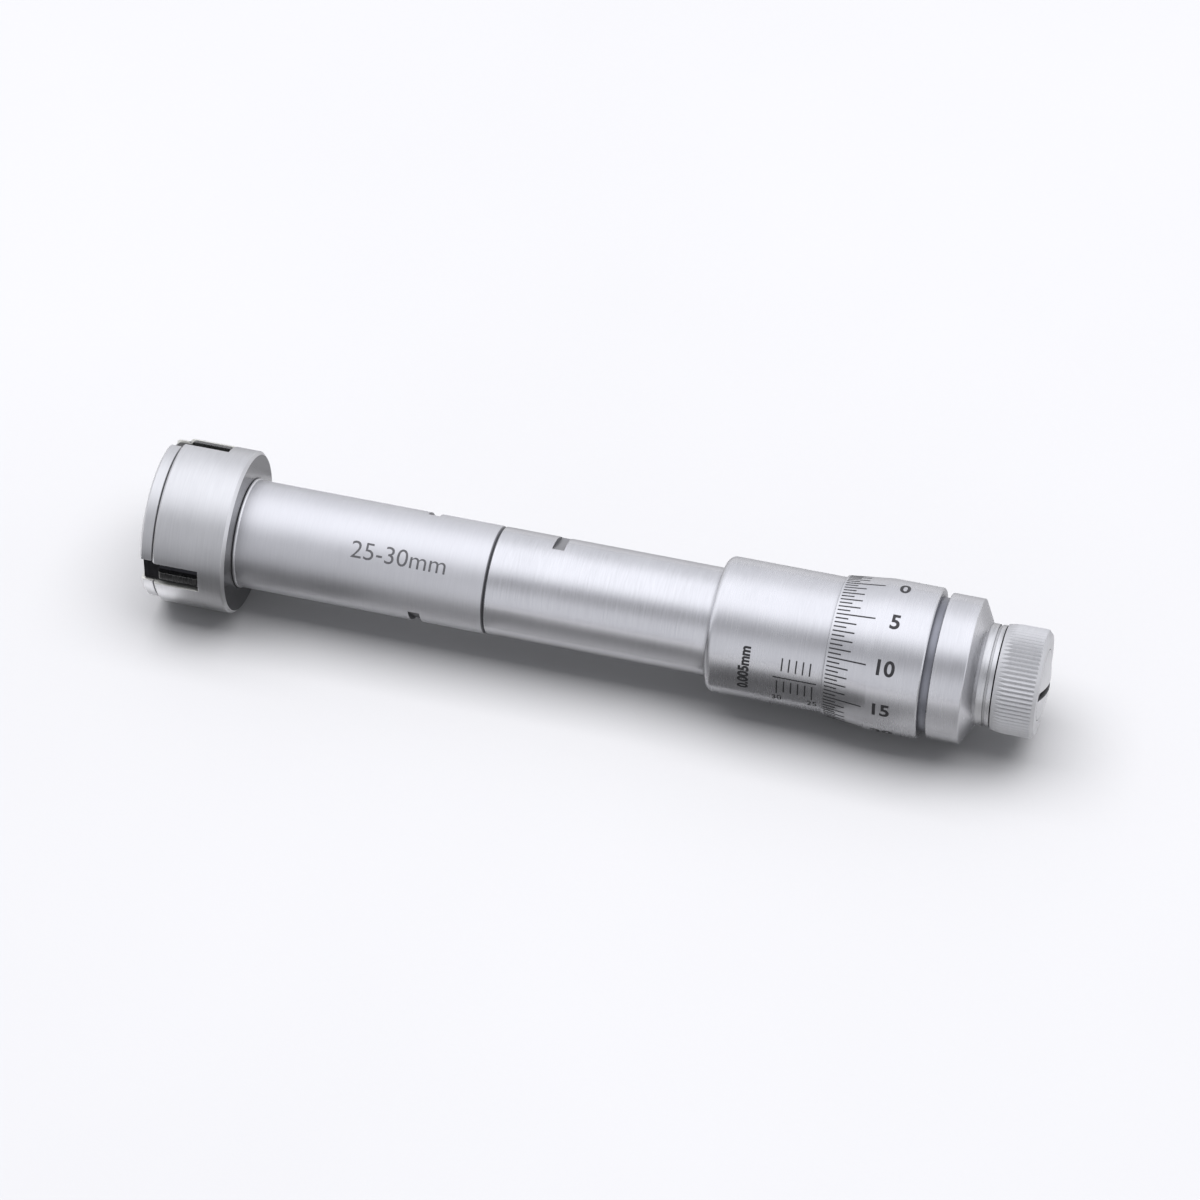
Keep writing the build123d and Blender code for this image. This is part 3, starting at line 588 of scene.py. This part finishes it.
def addLetters(parts, radiusAt, text, station, angle, height, narrow, bold=0.0, roundTool=False):
    # plain lettering reads towards the rear, with its tops towards smaller angles
    # roundTool reads towards smaller angles, with its tops towards the front
    shape = letterShape(text, height, narrow, bold, 0 if roundTool else 1)
    verts, faces = parts
    base = len(verts)
    shape.verts.index_update()
    perDegree = math.radians(1) * radiusAt(station)
    for v in shape.verts:
        lift = markFill["above"] if v.co.z > 0 else -markFill["below"]
        along, turned = (-v.co.y, v.co.x) if roundTool else (v.co.x, v.co.y)
        radius = radiusAt(station + along) + lift
        verts.append(pointAt(station + along, radius, angle - turned / perDegree))
    for face in shape.faces:
        faces.append([base + v.index for v in face.verts])
    shape.free()


thimbleScale = {
    "front": frontStation("thimble"), "frontRadius": 9.95, "coneLength": 6.35, "radius": 10.7,
    "divisions": 100, "mediumEvery": 2, "longEvery": 10,
    "zeroAngle": 155.4, "edgeGap": 0.3,
    "short": 2.1, "medium": 3.4, "long": 5.8,  # each line's end, behind the thimble's front
    "lineWidth": 0.19,
    "numbers": 10, "numberStep": 5, "numberSetback": 8.6,
    "numberHeight": 2.3, "numberNarrow": 1.0, "bold": 0.025,
}


def thimbleRadius(station):
    share = (station - thimbleScale["front"]) / thimbleScale["coneLength"]
    share = min(max(share, 0.0), 1.0)
    front, rear = thimbleScale["frontRadius"], thimbleScale["radius"]
    return front + share * (rear - front)


def makeThimbleMarks():
    look = thimbleScale
    parts = ([], [])
    half = math.degrees(look["lineWidth"] / 2 / look["frontRadius"])
    for n in range(look["divisions"]):
        length = look["short"]
        if n % look["mediumEvery"] == 0:
            length = look["medium"]
        if n % look["longEvery"] == 0:
            length = look["long"]
        angle = look["zeroAngle"] + n * 360 / look["divisions"]
        addBar(parts, thimbleRadius, look["front"] + look["edgeGap"], look["front"] + length,
               angle - half, angle + half)
    for n in range(look["numbers"]):
        text = str(n * look["numberStep"])
        angle = look["zeroAngle"] + n * 360 / look["numbers"]
        addLetters(parts, thimbleRadius, text, look["front"] + look["numberSetback"], angle,
                   look["numberHeight"], look["numberNarrow"], look["bold"])
    makePiece("thimble_marks", parts, inked["blackFill"], "thimble")


sleeveScale = {
    # the thimble's front stands at the first tick when the jaws are full out, and behind the last
    # when they are drawn in
    "first": thimbleScale["front"] - coneTravel, "count": 6, "step": 1.0, "tickWidth": 0.2,
    "lineAngle": 254.8, "lineStart": 91.5, "lineEnd": 97.7, "lineWidth": 0.2,
    "lowerGap": 0.55, "lowerLength": 2.2, "upperGap": 1.1, "upperLength": 2.0, "endTickExtra": 0.5,
    "firstNumber": "30", "lastNumber": "25",
    "numberHeight": 1.25, "numberNarrow": 0.85, "numberDrop": 1.0625,
}


def makeSleeveMarks():
    look = sleeveScale
    parts = ([], [])
    radiusAt = evenRadius(sleeveRadius)

    def angleOf(length):
        # a distance round the sleeve from the scale's line, as an angle
        return look["lineAngle"] + math.degrees(length / sleeveRadius)

    def addTick(station, near, far):
        half = look["tickWidth"] / 2
        addBar(parts, radiusAt, station - half, station + half, angleOf(near), angleOf(far))

    half = look["lineWidth"] / 2
    addBar(parts, radiusAt, look["lineStart"], look["lineEnd"], angleOf(-half), angleOf(half))
    last = look["count"] - 1
    lowerEnd = look["lowerGap"] + look["lowerLength"]
    upperEnd = look["upperGap"] + look["upperLength"]
    for n in range(look["count"]):
        station = look["first"] + n * look["step"]
        extra = look["endTickExtra"] if n in (0, last) else 0.0
        addTick(station, look["lowerGap"], lowerEnd + extra)
        if n < last:
            addTick(station + look["step"] / 2, -upperEnd, -look["upperGap"])
    numberAngle = angleOf(lowerEnd + look["endTickExtra"] + look["numberDrop"])
    for n, text in ((0, look["firstNumber"]), (last, look["lastNumber"])):
        addLetters(parts, radiusAt, text, look["first"] + n * look["step"], numberAngle,
                   look["numberHeight"], look["numberNarrow"])
    makePiece("sleeve_marks", parts, inked["blackFill"], "frame")


letterings = {
    "sleeve_lettering": {
        "text": "0.005mm", "radius": sleeveRadius, "station": 87.3, "angle": 253.5,
        "height": 1.6, "narrow": 0.95, "bold": 0.04, "roundTool": True, "ink": "blackFill",
    },
    "tube_lettering": {
        "text": "25-30mm", "radius": tubeRadius, "station": 36.4, "angle": 213.0,
        "height": 2.45, "narrow": 1.03, "bold": -0.005, "roundTool": False, "ink": "etchedGrey",
    },
}


def makeLettering(name, look):
    parts = ([], [])
    addLetters(parts, evenRadius(look["radius"]), look["text"], look["station"], look["angle"],
               look["height"], look["narrow"], look["bold"], look["roundTool"])
    makePiece(name, parts, inked[look["ink"]], "frame")


makeThimbleMarks()
makeSleeveMarks()
for name, look in letterings.items():
    makeLettering(name, look)
print("marks made")


rootCollar = {  # a half round bead where the tube meets the head
    "start": frontStation("front_tube"), "width": 0.5, "height": 0.2,
    "inset": 0.03, "depth": 0.06,  # the bead's foot lies this far under the tube, and its root deeper
    "stepsAcross": 8, "stepsRound": 144,
}


def makeRootCollar():
    look = rootCollar
    across, around = look["stepsAcross"], look["stepsRound"]
    foot = tubeRadius - look["inset"]
    outline = []
    for i in range(across + 1):
        turn = math.pi * i / across
        station = look["start"] + look["width"] * (1 - math.cos(turn)) / 2
        outline.append((station, foot + look["height"] * math.sin(turn)))
    outline.append((look["start"] + look["width"], foot - look["depth"]))
    outline.append((look["start"], foot - look["depth"]))
    verts = []
    for j in range(around):
        verts += [pointAt(station, radius, 360 * j / around) for station, radius in outline]
    row = len(outline)
    faces = []
    for j in range(around):
        here, there = j * row, (j + 1) % around * row
        for i in range(row):
            beside = (i + 1) % row
            faces.append((here + i, here + beside, there + beside, there + i))
    collar = makePiece("root_collar", (verts, faces), metals["beadChrome"], "frame")
    for n, face in enumerate(collar.data.polygons):
        face.use_smooth = n % row < across  # the bead is smooth and its root isn't


makeRootCollar()
print("collar made")


def hideFromAllButMirrors(thing):
    thing.visible_camera = False
    thing.visible_diffuse = False
    thing.visible_transmission = False
    thing.visible_shadow = False


def greyRamp(tree, value, stops, tint=(1.0, 1.0, 1.0)):
    # the colour that a list of (place, grey) gives to a value of 0..1
    ramp = tree.nodes.new("ShaderNodeValToRGB")
    elements = ramp.color_ramp.elements
    elements.remove(elements[-1])
    for n, (place, grey) in enumerate(stops):
        element = elements[0] if n == 0 else elements.new(place)
        element.position = place
        element.color = (*(grey * share for share in tint), 1)
    tree.links.new(value, ramp.inputs["Fac"])
    return ramp.outputs["Color"]


paleFloor = {
    "size": 6000.0, "dark": (0.274, 0.274, 0.274), "light": (0.282, 0.282, 0.282), "cloudSize": 120.0,
    "roughness": (0.6, 0.7), "smearSize": 3.0,
    "grainSize": 0.4, "grainDetail": 5.0, "grainDepth": 0.01,
}


def makeFloor(look):
    mesh = bpy.data.meshes.new("floor")
    half = look["size"] / 2 * mm
    corners = [(-half, -half, 0), (half, -half, 0), (half, half, 0), (-half, half, 0)]
    mesh.from_pydata(corners, [], [(0, 1, 2, 3)])
    floor = bpy.data.objects.new("floor", mesh)
    scene.collection.objects.link(floor)
    material, tree, shader = newMaterial("paleFloor")
    colour = colourBetween(tree, plainNoise(tree, look["cloudSize"]), look["dark"], look["light"])
    tree.links.new(colour, shader.inputs["Base Color"])
    roughness = spread(tree, plainNoise(tree, look["smearSize"]), *noiseReach, *look["roughness"])
    tree.links.new(roughness, shader.inputs["Roughness"])
    shader.inputs["Specular IOR Level"].default_value = 0.0
    addBump(tree, shader, plainNoise(tree, look["grainSize"], look["grainDetail"]), look["grainDepth"])
    mesh.materials.append(material)


# Grey cards on the floor round the tool, which only the chrome sees. Their greys are a painted reflection
# of shade and of dark things beside the tool.
# Start and end are stations, near and far are distances across the tool, and the greys go by the share of
# the way from near to far.
frontCard = {"near": -12, "far": -112, "height": 0.6}
backCard = {"near": 20, "far": 150, "height": 0.6}
cards = {
    "head_card": {
        **frontCard, "start": -120, "end": 3,
        "greys": [(0.0, 0.52), (0.03, 0.50), (0.055, 0.36), (0.085, 0.17), (0.12, 0.06),
                  (0.17, 0.025), (0.26, 0.018), (0.39, 0.02), (0.68, 0.03), (1.0, 0.05)],
    },
    "foot_card": {  # lies on the front card, under the head
        "near": -7, "far": -24, "height": 0.8, "start": 3, "end": 12,
        "greys": [(0.0, 0.12), (0.24, 0.13), (0.35, 0.19), (0.5, 0.155), (0.65, 0.11), (0.8, 0.065),
                  (1.0, 0.035)],
    },
    "front_card": {
        **frontCard, "start": 3, "end": 28,
        "greys": [(0.0, 0.09), (0.05, 0.05), (0.13, 0.04), (0.32, 0.045), (0.68, 0.07), (1.0, 0.11)],
    },
    "joint_card": {
        **frontCard, "start": 28, "end": 48,
        "greys": [(0.0, 0.14), (0.05, 0.09), (0.13, 0.075), (0.32, 0.085), (0.68, 0.14), (1.0, 0.2)],
    },
    "tube_card": {
        **frontCard, "start": 48, "end": 108,
        "greys": [(0.0, 0.18), (0.04, 0.14), (0.08, 0.11), (0.13, 0.092), (0.20, 0.08), (0.30, 0.095),
                  (0.45, 0.14), (0.70, 0.19), (1.0, 0.25)],
    },
    "rear_card": {
        **frontCard, "start": 108, "end": 250,
        "greys": [(0.0, 0.21), (0.08, 0.15), (0.20, 0.125), (0.30, 0.14), (0.70, 0.20), (1.0, 0.26)],
    },
    "sleeve_card": {  # lies on the tube card, under the sleeve
        "near": -11.5, "far": -48, "height": 2, "start": 79, "end": 98,
        "greys": [(0.0, 0.07), (0.2, 0.04), (0.6, 0.048), (1.0, 0.06)],
    },
    "head_back_card": {
        **backCard, "start": -20, "end": 9,
        "greys": [(0.0, 0.12), (0.11, 0.13), (0.2, 0.14), (0.37, 0.17), (1.0, 0.24)],
    },
    "back_card": {
        **backCard, "start": 9, "end": 150,
        "greys": [(0.0, 0.15), (0.11, 0.166), (0.2, 0.2), (0.37, 0.24), (1.0, 0.26)],
    },
}


def makeCard(name, look):
    near, far = look["near"] * mm, look["far"] * mm
    low = Vector((frontX + look["start"] * mm, min(near, far), 0))
    high = Vector((frontX + look["end"] * mm, max(near, far), look["height"] * mm))
    shape = bmesh.new()
    bmesh.ops.create_cube(shape, size=1.0)
    for v in shape.verts:
        v.co = (low + high) / 2 + v.co * (high - low)
    mesh = bpy.data.meshes.new(name)
    shape.to_mesh(mesh)
    shape.free()
    card = bpy.data.objects.new(name, mesh)
    scene.collection.objects.link(card)
    material, tree, shader = newMaterial(name)
    share = spread(tree, splitCoordinates(tree, "Object")["Y"], near, far, 0.0, 1.0)
    tree.links.new(greyRamp(tree, share, look["greys"]), shader.inputs["Base Color"])
    shader.inputs["Roughness"].default_value = 1.0
    shader.inputs["Specular IOR Level"].default_value = 0.0
    mesh.materials.append(material)
    hideFromAllButMirrors(card)


# what the chrome mirrors of the room, by the angle over the horizon: 0 is level in front of the tool,
# 90 overhead and 180 level behind it. Both ends of the room are even.
room = {
    "tint": (0.93, 0.94, 1.0),
    "levels": [(0, 0.89), (12, 0.93), (28, 0.91), (42, 0.65), (50, 0.54), (60, 0.63), (70, 1.0),
               (80, 1.45), (90, 1.60), (125, 1.57), (140, 1.32), (150, 1.13), (165, 1.02), (180, 0.96)],
    "endLevel": 1.25, "endFacing": (0.75, 0.97),
}


def makeRoom(look):
    world = bpy.data.worlds.new("studio")
    world.use_nodes = True
    scene.world = world
    tree = world.node_tree
    place = splitCoordinates(tree, "Generated")
    turn = mathNode(tree, "ARCTAN2", place["Z"], mathNode(tree, "MULTIPLY", place["Y"], -1.0))
    levels = [(angle / 180, level) for angle, level in look["levels"]]
    light = greyRamp(tree, spread(tree, turn, 0.0, math.pi, 0.0, 1.0), levels, look["tint"])
    end = spread(tree, mathNode(tree, "ABSOLUTE", place["X"]), *look["endFacing"], 0.0, 1.0)
    light = mixColour(tree, end, light, [look["endLevel"] * share for share in look["tint"]])
    tree.links.new(light, tree.nodes["Background"].inputs["Color"])


# a glowing screen in front of the head, mirrored in it and in the front tube in place of the room
headScreen = {
    "start": -180, "end": 20, "distance": -76, "height": 280,
    "levels": [(0.0, 0.43), (0.08, 0.55), (0.15, 0.66), (0.19, 0.74), (0.235, 0.72), (0.29, 0.68),
               (0.36, 0.68), (0.47, 0.8), (0.64, 1.08), (1.0, 1.35)],
}


def makeScreen(look):
    mesh = bpy.data.meshes.new("head_screen")
    left, right = frontX + look["start"] * mm, frontX + look["end"] * mm
    y, top = look["distance"] * mm, look["height"] * mm
    mesh.from_pydata([(left, y, 0), (right, y, 0), (right, y, top), (left, y, top)], [], [(3, 2, 1, 0)])
    screen = bpy.data.objects.new("head_screen", mesh)
    scene.collection.objects.link(screen)
    material, tree, shader = newMaterial("head_screen")
    shader.inputs["Base Color"].default_value = (0, 0, 0, 1)
    shader.inputs["Specular IOR Level"].default_value = 0.0
    share = spread(tree, splitCoordinates(tree, "Object")["Z"], 0.0, top, 0.0, 1.0)
    tree.links.new(greyRamp(tree, share, look["levels"], room["tint"]), shader.inputs["Emission Color"])
    shader.inputs["Emission Strength"].default_value = 1.0
    mesh.materials.append(material)
    hideFromAllButMirrors(screen)


softbox = {  # lights the floor from over the tool and throws the shadow
    "power": 35.0, "colour": (0.975, 0.97, 1.0),
    "along": 1500.0, "across": 800.0, "distance": 1000.0, "lean": 6.0,
}


def makeSoftbox(look):
    data = bpy.data.lights.new("softbox", "AREA")
    data.shape = "RECTANGLE"
    data.size = look["along"] * mm
    data.size_y = look["across"] * mm
    data.energy = look["power"]
    data.color = look["colour"]
    light = bpy.data.objects.new("softbox", data)
    lean = math.radians(look["lean"])
    away = Vector((0, math.sin(lean), math.cos(lean)))
    light.location = Vector((0, 0, axisHeight)) + away * look["distance"] * mm
    light.rotation_euler = (-lean, 0, 0)
    light.visible_glossy = False  # the chrome mirrors the room's own light instead
    scene.collection.objects.link(light)


makeFloor(paleFloor)
for name, look in cards.items():
    makeCard(name, look)
makeScreen(headScreen)
makeSoftbox(softbox)
makeRoom(room)
scene.view_settings.view_transform = "Standard"
print("floor and light set")
